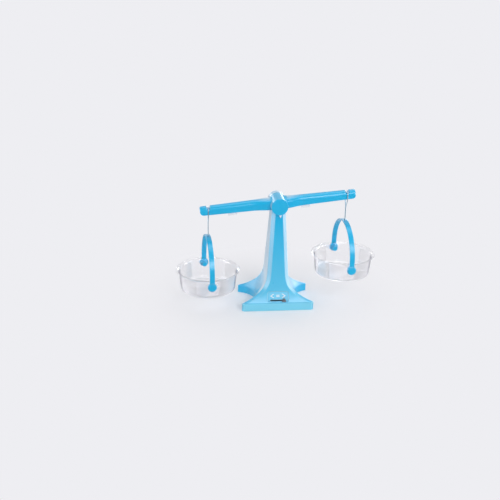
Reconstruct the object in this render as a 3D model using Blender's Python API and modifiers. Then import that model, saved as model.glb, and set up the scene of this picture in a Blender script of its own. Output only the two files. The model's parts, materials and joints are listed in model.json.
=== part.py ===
# Classroom pan balance: a hollow nesting stand, a tilting beam, two clear pans hung on wire hooks, and an
# indicator arrow that a lever inside the post moves along a slot in the foot.
# The balance stands on z = 0 with its beam along X and its front at -Y. It rests with the left pan down.

import math

import bmesh
import bpy
from mathutils import Matrix, Vector

mm = 0.001

CLEAR = 0.3 * mm  # gap between pieces that touch
RUN_CLEAR = 0.7 * mm  # gap between pieces that pass each other
SINK = 1.0 * mm  # how far a shape runs into the one that it is joined to
THROUGH = 10 * mm  # how far a cutter runs past what it cuts
SHARP_ANGLE = math.radians(35)
MERGE_LIMIT = 0.00001
EDGE_STEPS = 3
EMPTY_SIZE = 20 * mm

# Stand: a hollow post on a flared foot with hollowed sides
BASE_WIDTH = 168 * mm
BASE_DEPTH = 116 * mm
WAIST_WIDTH = 90 * mm  # across the hollowed sides of the foot
SKIRT_HEIGHT = 18.5 * mm
FLARE_TOP = 98 * mm
FLARE_POWER = 3.75  # 1 is a straight flare, more is hollower
BASE_BEVEL = 4.5 * mm
POST_FOOT_WIDTH = 47.5 * mm  # these three at the top of the flare
POST_FOOT_DEPTH = 78 * mm
POST_FOOT_BEVEL = 8.2 * mm
POST_TOP_WIDTH = 32 * mm
POST_TOP_DEPTH = 47 * mm
POST_TOP_BEVEL = 8 * mm
STAND_WALL = 2.5 * mm
FLAT_HOLLOW = 0.02 * mm  # the post's flat sides, as the shallowest arc
LEAN_STEP = 1 * mm
FLARE_STEPS = 12
FLARE_CROWDING = 1.5  # the steps crowd towards the skirt, where the flare turns fastest
SIDE_STEPS = 12

# Saddles at the top of the post, where the axle lies
SADDLE_WALL = 2.5 * mm
SADDLE_RISE = 2.5 * mm  # above the axle's centre line
SADDLE_ROOT = 10 * mm  # below the top of the post
SADDLE_CORNER = 3 * mm

# Sign window and pointer slot in the front of the foot
WINDOW_WIDTH = 50 * mm
WINDOW_HEIGHT = 26 * mm
WINDOW_RADIUS = 6 * mm
WINDOW_DEPTH = 1.0 * mm
WINDOW_Z = 32 * mm
SLOT_Z = 24 * mm
SLOT_END_CLEAR = 1.4 * mm  # beyond the rod at each end of its travel
SLOT_CLEAR = 0.5 * mm  # above and below the rod

# Beam: two arms of arched channel on a barrel hub
PIVOT_Z = 246 * mm
TILT = math.radians(6.0)  # either way from level
HOOK_ARM = 160.5 * mm
BEAM_TIP = 19.5 * mm  # beyond the hook
ARM_HEIGHT_HUB = 24.2 * mm
ARM_HEIGHT_TIP = 19.1 * mm
ARM_LIFT = 2.3 * mm  # middle of the arms above the axle
ARM_DEPTH = 21 * mm
ARM_CROWN = 10 * mm  # height of the rounded top
CROWN_MOST = 0.7  # of the height left at the rounded tip
ARM_WALL = 2.0 * mm
TIP_BOTTOM_RADIUS = 8 * mm
TIP_TOP_RADIUS = 3 * mm
NOTCH_WIDTH = 8.8 * mm
NOTCH_DEPTH = 7.4 * mm
TIP_BLOCK = 4 * mm  # solid stretch inboard of the notch
CROWN_STEPS = 10
TIP_STEPS = 5
HUB_RADIUS = 19.3 * mm
HUB_WALL = 5 * mm
HUB_SKIRT = 5 * mm  # how far the barrel's sides reach below the axle
SHOULDER_RISE = 1.2 * mm  # the arms sweep up into the barrel
SHOULDER_START = 11 * mm  # from the axle, inside the barrel
SHOULDER_LENGTH = 13 * mm
SHOULDER_STEPS = 5
DISC_GAP = 3 * mm  # between the post and the discs
DISC_THICKNESS = 7 * mm
DISC_EDGE = 1.4 * mm
WEB_THICKNESS = 2 * mm  # ribs in the barrel that grip the tail arm
WEB_LOW = 4 * mm  # their lower edge, above the axle's centre line
HUB_SEGMENTS = 48

# Axle
AXLE_RADIUS = 2.5 * mm
AXLE_SEAT = 4 * mm  # depth in each disc
AXLE_CHAMFER = 0.4 * mm

# White level pointer below the front disc
LEVEL_WIDTH = 7.4 * mm
LEVEL_TOP = 17.6 * mm  # below the axle
LEVEL_TIP = 27 * mm
LEVEL_THICKNESS = 2 * mm

# Indicator: tail arm on the hub, rod hung on its lower end, arrow on the rod
TAIL_LENGTH = 134 * mm
TAIL_HEAD_WIDTH = 12 * mm
TAIL_HEAD_DROP = 10 * mm
TAIL_EYE_RADIUS = 5 * mm
TAIL_THICKNESS = 6 * mm
TAIL_SEGMENTS = 24
LINK_PIN_RADIUS = 1.5 * mm
LINK_HEAD_RADIUS = 3 * mm
LINK_HEAD = 1.2 * mm
LINK_GAP = 0.6 * mm  # between the tail arm and the rod
LINK_SEGMENTS = 16
ROD_WIDTH = 6 * mm
ROD_THICKNESS = 1.6 * mm
ROD_TOP = 4 * mm  # above the pin
ROD_STRAIGHT = 40 * mm  # below the pin
ROD_NOSE = 13 * mm  # level stretch that passes the slot
ROD_BEND = 10 * mm
ARROW_WIDTH = 10 * mm
ARROW_HEIGHT = 10 * mm
ARROW_BASE = 3.4 * mm  # below the middle of the slot
ARROW_THICKNESS = 1.6 * mm

# Zero adjusters: sliders on rails inside the arms
RAIL_INNER = 45 * mm  # ends of the rails, from the pivot
RAIL_OUTER = 130 * mm
RAIL_RISE = 2 * mm  # above the arm's lower edge
RAIL_HEIGHT = 1.6 * mm
RAIL_WIDTH = 1.8 * mm
SLIDER_LENGTH = 20 * mm
SLIDER_PAD_WIDTH = 18 * mm
SLIDER_PAD_HEIGHT = 6 * mm
SLIDER_FLANGE = 1.6 * mm
SLIDER_EDGE = 0.5 * mm
LEFT_SLIDER = -107 * mm  # where they are set, from the pivot
RIGHT_SLIDER = 63 * mm

# Hooks: one wire, over the beam and down to the handle
WIRE_RADIUS = 1.0 * mm
HOOK_DROP = 68.6 * mm  # from the wire's top to the middle of the strap
HOOK_TOP_BEND = 2.2 * mm
HOOK_LEG_CLEAR = 1.2 * mm  # between a leg and the side of the arm
HOOK_NECK_BEND = 9 * mm
HOOK_NECK_START = 4 * mm  # below the arm
HOOK_NECK = 16 * mm  # height over which the legs draw together
HOOK_SHANK_GAP = 0.6 * mm
HOOK_FOOT = 5.5 * mm  # reach of each foot under the strap
HOOK_FOOT_BEND = 2 * mm
HOOK_FOOT_CLEAR = 0.6 * mm
BEND_STEPS = 5
WIRE_RESOLUTION = 2

# Pans: clear bowls, measured from the rim down
PAN_LIP_RADIUS = 75 * mm
PAN_WALL_RADIUS = 68 * mm  # under the lip
PAN_LOW_RADIUS = 64.4 * mm  # above the rounded corner
PAN_DEPTH = 50.5 * mm
PAN_LIP_HEIGHT = 8 * mm
PAN_CORNER = 9 * mm
PAN_WALL = 1.8 * mm
PAN_SEGMENTS = 44
PAN_CORNER_STEPS = 4
PAN_LIP_STEPS = 4

# Handles: arched straps, measured from the button axis
BUTTON_DROP = 14.8 * mm  # button axis below the rim
HANDLE_RISE = 95 * mm  # to the middle of the strap
STRAP_WIDTH = 11.6 * mm
STRAP_THICKNESS = 2.4 * mm
STRAP_STEPS = 28
STRAP_HOLE = 3.3 * mm
BOSS_RADIUS = 10.5 * mm
BOSS_THICKNESS = 3.2 * mm
BOSS_NECK_RADIUS = 7 * mm
BUTTON_SHANK = 4 * mm
BUTTON_HEAD_RADIUS = 8.6 * mm
BUTTON_HEAD = 1.8 * mm
BUTTON_COLLAR_RADIUS = 6 * mm
BUTTON_COLLAR = 1.6 * mm
BUTTON_EDGE = 0.8 * mm
BUTTON_SEGMENTS = 24
PAN_TURN = math.radians(4.0)  # the pans hang turned a little on their hooks

BLUE_PLASTIC = {"Base Color": (0.035, 0.440, 0.760, 1), "Roughness": 0.28}
CLEAR_PLASTIC = {"Base Color": (0.90, 0.91, 0.94, 1), "Roughness": 0.06, "Transmission Weight": 0.95}
STEEL = {"Base Color": (0.62, 0.64, 0.66, 1), "Roughness": 0.25, "Metallic": 1}
WHITE_PLASTIC = {"Base Color": (0.88, 0.88, 0.89, 1), "Roughness": 0.35}
CHARCOAL_PLASTIC = {"Base Color": (0.06, 0.07, 0.09, 1), "Roughness": 0.4}

# Values that follow from those above
BEAM_HALF = HOOK_ARM + BEAM_TIP
HUB_BORE = HUB_RADIUS - HUB_WALL
TRAVEL = TAIL_LENGTH * math.sin(TILT)
AXLE_FIT = AXLE_RADIUS + CLEAR
LINK_FIT = LINK_PIN_RADIUS + CLEAR
BUTTON_FIT = BUTTON_SHANK + CLEAR


def mix(a, b, share):
    return a + (b - a) * share


def arm_half_height(x):
    return mix(ARM_HEIGHT_HUB, ARM_HEIGHT_TIP, abs(x) / BEAM_HALF) / 2


def arm_top_edge(x):
    return ARM_LIFT + arm_half_height(x)


def arm_lower_edge(x):
    return ARM_LIFT - arm_half_height(x)


def shoulder_height():
    # The arms come down on the post's side walls, so the tilt sets how tall the post is.
    lower = arm_lower_edge(0)
    reach = (POST_TOP_WIDTH / 2 - lower * math.sin(TILT)) / math.cos(TILT)
    drop = reach * math.sin(TILT) - lower * math.cos(TILT)
    return PIVOT_Z - drop - CLEAR


POST_TOP_Z = shoulder_height()


def flare(z):
    share = (z - SKIRT_HEIGHT) / (FLARE_TOP - SKIRT_HEIGHT)
    return (1 - min(max(share, 0), 1)) ** FLARE_POWER


def stand_size(z, top, foot, base):
    # Straight taper of the post, run on down to the skirt, plus what the flare adds.
    z = max(z, SKIRT_HEIGHT)
    slope = (top - foot) / (POST_TOP_Z - FLARE_TOP)
    at_skirt = foot + (SKIRT_HEIGHT - FLARE_TOP) * slope
    return foot + (z - FLARE_TOP) * slope + flare(z) * (base - at_skirt)


def stand_depth(z):
    return stand_size(z, POST_TOP_DEPTH, POST_FOOT_DEPTH, BASE_DEPTH) / 2


def stand_lean(z):
    return math.atan((stand_depth(z - LEAN_STEP) - stand_depth(z + LEAN_STEP)) / (2 * LEAN_STEP))


HUB_INNER = stand_depth(PIVOT_Z - HUB_RADIUS) + DISC_GAP
HUB_OUTER = HUB_INNER + DISC_THICKNESS
LEVEL_BACK = (HUB_INNER + HUB_OUTER - LEVEL_THICKNESS) / 2


def stand_outline(z, inset):
    # Plan of the stand at one height: straight front and back, bevelled corners, sides hollowed to an arc.
    half_depth = stand_depth(z)
    half_width = stand_size(z, POST_TOP_WIDTH, POST_FOOT_WIDTH, BASE_WIDTH) / 2
    waist = stand_size(z, POST_TOP_WIDTH, POST_FOOT_WIDTH, WAIST_WIDTH) / 2
    bevel = stand_size(z, POST_TOP_BEVEL, POST_FOOT_BEVEL, BASE_BEVEL)
    hollow = max(half_width - waist, FLAT_HOLLOW)
    half_chord = half_depth - bevel
    radius = (half_chord ** 2 + hollow ** 2) / (2 * hollow) + inset
    half_depth -= inset
    bevel -= inset * (2 - math.sqrt(2))
    half_chord = half_depth - bevel
    waist -= inset
    side = []
    for i in range(SIDE_STEPS + 1):
        angle = math.asin(half_chord / radius) * (2 * i / SIDE_STEPS - 1)
        side.append((waist + radius * (1 - math.cos(angle)), radius * math.sin(angle)))
    flat = side[0][0] - bevel
    right = [(flat, -half_depth)] + side + [(flat, half_depth)]
    left = [(-x, -y) for x, y in right]
    return right + left


def beam_world(x, z):
    # A point of the beam's mid plane, carried to where it is at rest.
    return Vector((x * math.cos(TILT) - z * math.sin(TILT), 0,
                   PIVOT_Z + x * math.sin(TILT) + z * math.cos(TILT)))


def arc(centre, radius, start, end, steps):
    points = []
    for i in range(steps + 1):
        angle = mix(start, end, i / steps)
        points.append((centre[0] + radius * math.cos(angle), centre[1] + radius * math.sin(angle)))
    return points


def rounded_path(corners, radii):
    # Straight runs with an arc at each inner corner, for wire and strip.
    path = [Vector(corners[0])]
    for before, corner, after, radius in zip(corners, corners[1:], corners[2:], radii):
        corner = Vector(corner)
        back = (Vector(before) - corner).normalized()
        ahead = (Vector(after) - corner).normalized()
        half = back.angle(ahead) / 2
        centre = corner + (back + ahead).normalized() * radius / math.sin(half)
        first = corner + back * radius / math.tan(half) - centre
        last = corner + ahead * radius / math.tan(half) - centre
        for i in range(BEND_STEPS + 1):
            path.append(centre + first.slerp(last, i / BEND_STEPS) * radius)
    path.append(Vector(corners[-1]))
    return path


def rounded_rectangle(width, height, radius):
    points = []
    for i, (sx, sy) in enumerate(((1, 1), (-1, 1), (-1, -1), (1, -1))):
        centre = (sx * (width / 2 - radius), sy * (height / 2 - radius))
        points += arc(centre, radius, i * math.pi / 2, (i + 1) * math.pi / 2, BEND_STEPS)
    return points


def finish(name, look):
    material = bpy.data.materials.new(name + "_finish")
    material.use_nodes = True
    shader = material.node_tree.nodes["Principled BSDF"]
    for socket, value in look.items():
        shader.inputs[socket].default_value = value
    return material


for old in list(bpy.data.objects):
    bpy.data.objects.remove(old)

balance = bpy.data.collections.new("pan_balance")
cutters = bpy.data.collections.new("pan_balance_cutters")
for group in (balance, cutters):
    bpy.context.scene.collection.children.link(group)


def place(item, parent, group):
    group.objects.link(item)
    item.parent = parent
    return item


def joint_empty(name, location, rotation=(0, 0, 0)):
    item = place(bpy.data.objects.new(name, None), None, balance)
    item.location = location
    item.rotation_euler = rotation
    item.empty_display_size = EMPTY_SIZE
    return item


def piece(name, data, look, parent=None):
    item = place(bpy.data.objects.new(name, data), parent, balance)
    data.materials.append(finish(name, look))
    return item


def tool(name, mesh, parent=None):
    # A shape that only cuts another or joins into it.
    item = place(bpy.data.objects.new(name, mesh), parent, cutters)
    item.hide_render = True
    item.display_type = "WIRE"
    return item


def boolean(target, operand, operation):
    modifier = target.modifiers.new(operand.name, "BOOLEAN")
    modifier.object = operand
    modifier.operation = operation


def to_mesh(name, bm):
    bmesh.ops.recalc_face_normals(bm, faces=bm.faces)
    mesh = bpy.data.meshes.new(name)
    bm.to_mesh(mesh)
    bm.free()
    mesh.shade_smooth()
    mesh.set_sharp_from_angle(angle=SHARP_ANGLE)
    return mesh


def loft(name, rings, ring_closed=False):
    # Skins rings of equal count, and caps the ends unless the last ring runs back into the first.
    bm = bmesh.new()
    rows = [[bm.verts.new(point) for point in ring] for ring in rings]
    pairs = list(zip(rows, rows[1:]))
    if ring_closed:
        pairs.append((rows[-1], rows[0]))
    else:
        bm.faces.new(rows[0])
        bm.faces.new(rows[-1])
    for low, high in pairs:
        for i in range(len(low)):
            j = (i + 1) % len(low)
            bm.faces.new((low[i], low[j], high[j], high[i]))
    return to_mesh(name, bm)


def extrude(name, outlines, axis, start, end):
    # Flat outlines pushed along X or Y, as one mesh of separate bodies.
    bm = bmesh.new()
    push = {"X": Vector((end - start, 0, 0)), "Y": Vector((0, end - start, 0))}[axis]
    for outline in outlines:
        if axis == "X":
            points = [(start, u, v) for u, v in outline]
        else:
            points = [(u, start, v) for u, v in outline]
        face = bm.faces.new([bm.verts.new(point) for point in points])
        grown = bmesh.ops.extrude_face_region(bm, geom=[face])["geom"]
        bmesh.ops.translate(bm, vec=push, verts=[v for v in grown if isinstance(v, bmesh.types.BMVert)])
    return to_mesh(name, bm)


def rod_along(name, radius, length, axis, segments=BUTTON_SEGMENTS):
    bm = bmesh.new()
    bmesh.ops.create_cone(bm, cap_ends=True, segments=segments, radius1=radius, radius2=radius, depth=length)
    if axis == "Y":
        bmesh.ops.rotate(bm, verts=bm.verts, matrix=Matrix.Rotation(math.pi / 2, 3, "X"))
    return to_mesh(name, bm)


def turned_profile(name, profile):
    mesh = bpy.data.meshes.new(name)
    edges = [(i, i + 1) for i in range(len(profile) - 1)]
    mesh.from_pydata([(r, 0, z) for r, z in profile], edges, [])
    return mesh


def screw(item, segments):
    modifier = item.modifiers.new("turn", "SCREW")
    modifier.steps = segments
    modifier.render_steps = segments
    modifier.use_merge_vertices = True
    modifier.merge_threshold = MERGE_LIMIT
    modifier.use_smooth_shade = True


def strip(name, path, width):
    # A band of the given width across X, along a path in the YZ plane.
    bm = bmesh.new()
    rows = [[bm.verts.new((side * width / 2, y, z)) for side in (-1, 1)] for y, z in path]
    for low, high in zip(rows, rows[1:]):
        bm.faces.new((low[0], low[1], high[1], high[0]))
    return to_mesh(name, bm)


def thicken(item, thickness):
    modifier = item.modifiers.new("thickness", "SOLIDIFY")
    modifier.thickness = thickness
    modifier.offset = 0
    modifier.use_even_offset = True


def round_edges(item, width):
    modifier = item.modifiers.new("edges", "BEVEL")
    modifier.width = width
    modifier.segments = 1
    modifier.limit_method = "ANGLE"


def facing_front(item, front=True):
    # Turns a piece made along Z so that its +Z end faces the front, or the back.
    item.rotation_euler.x = math.pi / 2 if front else -math.pi / 2


def build_stand():
    shares = [(i / FLARE_STEPS) ** FLARE_CROWDING for i in range(FLARE_STEPS + 1)]
    levels = [0] + [mix(SKIRT_HEIGHT, FLARE_TOP, share) for share in shares] + [POST_TOP_Z]
    outer = [[(x, y, z) for x, y in stand_outline(z, 0)] for z in levels]
    inner = []
    for z in levels:
        lower = z if z in (levels[0], levels[-1]) else z - STAND_WALL
        inner.append([(x, y, lower) for x, y in stand_outline(z, STAND_WALL)])
    stand = piece("stand", loft("stand", outer + inner[::-1], ring_closed=True), BLUE_PLASTIC)

    half = POST_TOP_WIDTH / 2 - POST_TOP_BEVEL - CLEAR
    root = POST_TOP_Z - SADDLE_ROOT
    crest = PIVOT_Z + SADDLE_RISE
    bed = arc((0, PIVOT_Z), AXLE_FIT, 0, -math.pi, 2 * BEND_STEPS)
    saddle = [(-half, root), (half, root), (half, crest - SADDLE_CORNER), (half - SADDLE_CORNER, crest),
              (AXLE_FIT, crest)] + bed + [(-AXLE_FIT, crest), (SADDLE_CORNER - half, crest),
                                          (-half, crest - SADDLE_CORNER)]
    face = POST_TOP_DEPTH / 2 - CLEAR
    for name, y in (("front_saddle", -face), ("rear_saddle", face - SADDLE_WALL)):
        boolean(stand, tool(name, extrude(name, [saddle], "Y", y, y + SADDLE_WALL)), "UNION")

    outline = rounded_rectangle(WINDOW_WIDTH, WINDOW_HEIGHT, WINDOW_RADIUS)
    window = tool("window", extrude("window", [outline], "Y", -THROUGH, WINDOW_DEPTH))
    window.location = (0, -stand_depth(WINDOW_Z), WINDOW_Z)
    window.rotation_euler.x = -stand_lean(WINDOW_Z)
    boolean(stand, window, "DIFFERENCE")

    slot_width = 2 * (TRAVEL + SLOT_END_CLEAR) + ROD_WIDTH
    slot_height = ROD_THICKNESS + TAIL_LENGTH * (1 - math.cos(TILT)) + 2 * SLOT_CLEAR
    outline = rounded_rectangle(slot_width, slot_height, slot_height / 2 - CLEAR)
    slot = tool("pointer_slot", extrude("pointer_slot", [outline], "Y", -THROUGH, THROUGH))
    slot.location = (0, -stand_depth(SLOT_Z), SLOT_Z)
    boolean(stand, slot, "DIFFERENCE")


def tip_rounding(x, radius):
    reach = min(max((abs(x) - (BEAM_HALF - radius)) / radius, 0), 1)
    return radius * (1 - math.sqrt(1 - reach ** 2))


def shoulder(x):
    share = min(max((abs(x) - SHOULDER_START) / SHOULDER_LENGTH, 0), 1)
    return SHOULDER_RISE * (1 - share) ** 2


def arm_section(x, inset=0):
    # Flat-bottomed arch: upright sides under a rounded crown. The hollow inside is the same, inset.
    low = arm_lower_edge(x) + tip_rounding(x, TIP_BOTTOM_RADIUS)
    top = arm_top_edge(x) + shoulder(x) - tip_rounding(x, TIP_TOP_RADIUS) - inset
    half = ARM_DEPTH / 2 - tip_rounding(x, TIP_TOP_RADIUS) - inset
    crown = min(ARM_CROWN - inset, CROWN_MOST * (top - low))
    if inset:
        low -= 2 * inset
    points = [(x, -half, low), (x, half, low)]
    for i in range(CROWN_STEPS + 1):
        angle = math.pi * i / CROWN_STEPS
        points.append((x, half * math.cos(angle), top - crown + crown * math.sin(angle)))
    return points


def build_beam(pivot):
    bends = [BEAM_HALF - TIP_BOTTOM_RADIUS * (1 - math.sin(math.pi / 2 * i / TIP_STEPS))
             for i in range(TIP_STEPS + 1)]
    sweep = [SHOULDER_START + SHOULDER_LENGTH * i / SHOULDER_STEPS for i in range(SHOULDER_STEPS + 1)]
    half = sweep + bends
    stations = [-x for x in reversed(half)] + half
    beam = piece("beam", loft("beam", [arm_section(x) for x in stations]), BLUE_PLASTIC, pivot)

    edge = arc((HUB_RADIUS - DISC_EDGE, HUB_OUTER - DISC_EDGE), DISC_EDGE, math.pi / 2, 0, EDGE_STEPS)
    barrel_profile = [(0, HUB_OUTER)] + edge + [(r, -z) for r, z in reversed(edge)] + [(0, -HUB_OUTER)]
    barrel = tool("hub_barrel", turned_profile("hub_barrel", barrel_profile), pivot)
    screw(barrel, HUB_SEGMENTS)
    facing_front(barrel)
    boolean(beam, barrel, "UNION")

    # The barrel is open below, so that it drops over the saddles.
    deep = 2 * HUB_RADIUS
    bore = arc((0, 0), HUB_BORE, 0, math.pi, HUB_SEGMENTS // 2) + [(-HUB_BORE, -deep), (HUB_BORE, -deep)]
    bore_mesh = extrude("hub_bore", [bore], "Y", -HUB_INNER, HUB_INNER)
    boolean(beam, tool("hub_bore", bore_mesh, pivot), "DIFFERENCE")
    wide = HUB_RADIUS + RUN_CLEAR
    side = [(-wide, -deep), (wide, -deep), (wide, -HUB_SKIRT), (-wide, -HUB_SKIRT)]
    for name, sign in (("front_mouth", -1), ("rear_mouth", 1)):
        near = sign * (ARM_DEPTH / 2 + CLEAR)
        mouth = extrude(name, [side], "Y", min(near, sign * HUB_INNER), max(near, sign * HUB_INNER))
        boolean(beam, tool(name, mouth, pivot), "DIFFERENCE")
    lower = arm_lower_edge(0)
    under = [(-wide, -deep), (wide, -deep), (wide, lower), (-wide, lower)]
    middle = ARM_DEPTH / 2 + CLEAR + SINK
    middle_mouth = extrude("middle_mouth", [under], "Y", -middle, middle)
    boolean(beam, tool("middle_mouth", middle_mouth, pivot), "DIFFERENCE")

    low_angle = math.asin(WEB_LOW / HUB_BORE)
    web = arc((0, 0), HUB_BORE + SINK, low_angle, math.pi - low_angle, HUB_SEGMENTS // 4)
    for name, sign in (("front_web", -1), ("rear_web", 1)):
        near = sign * (TAIL_THICKNESS / 2 + CLEAR)
        far = near + sign * WEB_THICKNESS
        boolean(beam, tool(name, extrude(name, [web], "Y", min(near, far), max(near, far)), pivot), "UNION")

    inner_end = HUB_RADIUS + RUN_CLEAR
    outer_end = HOOK_ARM - NOTCH_WIDTH / 2 - TIP_BLOCK
    rail_face = ARM_DEPTH / 2 - ARM_WALL
    for name, sign in (("left", -1), ("right", 1)):
        channel = loft(name + "_channel", [arm_section(sign * x, ARM_WALL) for x in (inner_end, outer_end)])
        boolean(beam, tool(name + "_channel", channel, pivot), "DIFFERENCE")
        ends = [(sign * x, arm_lower_edge(x) + RAIL_RISE) for x in (RAIL_INNER, RAIL_OUTER)]
        rail = ends + [(x, z + RAIL_HEIGHT) for x, z in reversed(ends)]
        for where, facing in (("front", -1), ("rear", 1)):
            inside = facing * (rail_face - RAIL_WIDTH)
            outside = facing * (rail_face + SINK)
            rail_name = name + "_" + where + "_rail"
            rail_mesh = extrude(rail_name, [rail], "Y", min(inside, outside), max(inside, outside))
            boolean(beam, tool(rail_name, rail_mesh, pivot), "UNION")
        bed = arm_top_edge(HOOK_ARM) - NOTCH_DEPTH
        half_notch = NOTCH_WIDTH / 2
        middle = (sign * HOOK_ARM, bed + half_notch)
        round_bed = arc(middle, half_notch, math.pi, 2 * math.pi, 2 * BEND_STEPS)
        open_top = [(sign * HOOK_ARM + u * half_notch, ARM_HEIGHT_HUB) for u in (1, -1)]
        notch = extrude(name + "_notch", [round_bed + open_top], "Y", -ARM_DEPTH, ARM_DEPTH)
        boolean(beam, tool(name + "_notch", notch, pivot), "DIFFERENCE")

    seat = 2 * (HUB_INNER + AXLE_SEAT + CLEAR)
    boolean(beam, tool("axle_bore", rod_along("axle_bore", AXLE_FIT, seat, "Y"), pivot), "DIFFERENCE")

    half = LEVEL_WIDTH / 2 + CLEAR
    gap = [(-half, -LEVEL_TIP), (half, -LEVEL_TIP), (half, CLEAR - LEVEL_TOP), (-half, CLEAR - LEVEL_TOP)]
    level_gap = extrude("level_gap", [gap], "Y", -LEVEL_BACK - LEVEL_THICKNESS - CLEAR, CLEAR - LEVEL_BACK)
    boolean(beam, tool("level_gap", level_gap, pivot), "DIFFERENCE")


def build_axle(pivot):
    end = HUB_INNER + AXLE_SEAT
    tip = AXLE_RADIUS - AXLE_CHAMFER
    shoulder = end - AXLE_CHAMFER
    half = [(0, end), (tip, end), (AXLE_RADIUS, shoulder)]
    profile = half + [(r, -z) for r, z in reversed(half)]
    axle = piece("pivot_axle", turned_profile("pivot_axle", profile), STEEL, pivot)
    screw(axle, BUTTON_SEGMENTS)
    facing_front(axle)


def build_level_pointer(pivot):
    triangle = [(-LEVEL_WIDTH / 2, -LEVEL_TOP), (0, -LEVEL_TIP), (LEVEL_WIDTH / 2, -LEVEL_TOP)]
    mesh = extrude("level_pointer", [triangle], "Y", -LEVEL_BACK - LEVEL_THICKNESS, -LEVEL_BACK)
    piece("level_pointer", mesh, WHITE_PLASTIC, pivot)


def add_loop(curve, points):
    spline = curve.splines.new("POLY")
    spline.points.add(len(points) - 1)
    for spot, (x, y) in zip(spline.points, points):
        spot.co = (x, y, 0, 1)
    spline.use_cyclic_u = True


def build_tail_arm(pivot):
    curve = bpy.data.curves.new("tail_arm", "CURVE")
    curve.dimensions = "2D"
    curve.fill_mode = "BOTH"
    curve.extrude = TAIL_THICKNESS / 2
    half = TAIL_HEAD_WIDTH / 2
    top = math.sqrt(HUB_BORE ** 2 - half ** 2) - CLEAR
    eye = arc((0, -TAIL_LENGTH), TAIL_EYE_RADIUS, -math.pi, 0, TAIL_SEGMENTS // 2)
    add_loop(curve, [(half, top), (-half, top), (-half, -TAIL_HEAD_DROP)] + eye + [(half, -TAIL_HEAD_DROP)])
    add_loop(curve, arc((0, 0), AXLE_FIT, 0, 2 * math.pi, TAIL_SEGMENTS)[:-1])
    add_loop(curve, arc((0, -TAIL_LENGTH), LINK_FIT, 0, 2 * math.pi, LINK_SEGMENTS)[:-1])
    facing_front(piece("tail_arm", curve, BLUE_PLASTIC, pivot))

    front = TAIL_THICKNESS / 2 + LINK_GAP + ROD_THICKNESS + CLEAR
    rear = TAIL_THICKNESS / 2 + CLEAR
    profile = [(0, front + LINK_HEAD), (LINK_HEAD_RADIUS, front + LINK_HEAD), (LINK_HEAD_RADIUS, front),
               (LINK_PIN_RADIUS, front), (LINK_PIN_RADIUS, -rear), (LINK_HEAD_RADIUS, -rear),
               (LINK_HEAD_RADIUS, -rear - LINK_HEAD), (0, -rear - LINK_HEAD)]
    pin = piece("linkage_pin", turned_profile("linkage_pin", profile), STEEL, pivot)
    screw(pin, LINK_SEGMENTS)
    pin.location = (0, 0, -TAIL_LENGTH)
    facing_front(pin)


def build_indicator():
    spot = beam_world(0, -TAIL_LENGTH)
    hinge = joint_empty("indicator_hinge", spot)
    slot_drop = spot.z - SLOT_Z - TAIL_LENGTH * (1 - math.cos(TILT)) / 2
    hang = -(TAIL_THICKNESS + ROD_THICKNESS) / 2 - LINK_GAP
    arrow_back = stand_depth(SLOT_Z) - WINDOW_DEPTH + RUN_CLEAR
    lean = stand_lean(SLOT_Z)
    tip = -arrow_back + CLEAR + math.tan(lean) * ROD_THICKNESS / 2
    corners = [(hang, ROD_TOP), (hang, -ROD_STRAIGHT), (tip + ROD_NOSE, -slot_drop), (tip, -slot_drop)]
    path = rounded_path(corners, [ROD_BEND, ROD_BEND])
    rod = piece("indicator_rod", strip("indicator_rod", path, ROD_WIDTH), STEEL, hinge)
    thicken(rod, ROD_THICKNESS)
    bore = tool("rod_bore", rod_along("rod_bore", LINK_FIT, THROUGH, "Y", LINK_SEGMENTS), hinge)
    bore.location.y = hang
    boolean(rod, bore, "DIFFERENCE")

    half = ARROW_WIDTH / 2
    outline = [(-half, -ARROW_BASE), (half, -ARROW_BASE), (0, ARROW_HEIGHT - ARROW_BASE)]
    mesh = extrude("pointer_tip", [outline], "Y", -ARROW_THICKNESS, 0)
    arrow = piece("pointer_tip", mesh, CHARCOAL_PLASTIC, hinge)
    arrow.location = (0, -arrow_back, -slot_drop)
    arrow.rotation_euler.x = -lean


def build_adjuster(name, x, pivot):
    neck = ARM_DEPTH / 2 - ARM_WALL - RAIL_WIDTH - CLEAR
    flange = ARM_DEPTH / 2 - ARM_WALL - CLEAR
    pad = SLIDER_PAD_WIDTH / 2
    low = RAIL_RISE + RAIL_HEIGHT + CLEAR
    high = low + SLIDER_FLANGE
    right = [(pad, -CLEAR - SLIDER_PAD_HEIGHT), (pad, -CLEAR), (neck, -CLEAR), (neck, low), (flange, low),
             (flange, high)]
    section = right + [(-y, z) for y, z in reversed(right)]
    mesh = extrude(name, [section], "X", -SLIDER_LENGTH / 2, SLIDER_LENGTH / 2)
    slider = piece(name, mesh, WHITE_PLASTIC, pivot)
    slider.location = (x, 0, arm_lower_edge(x))
    slope = math.atan((arm_lower_edge(BEAM_HALF) - arm_lower_edge(0)) / BEAM_HALF)
    slider.rotation_euler.y = -math.copysign(slope, x)
    round_edges(slider, SLIDER_EDGE)


def hook_point(sign):
    bed = arm_top_edge(HOOK_ARM) - NOTCH_DEPTH
    return beam_world(sign * HOOK_ARM, bed + CLEAR + WIRE_RADIUS)


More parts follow.
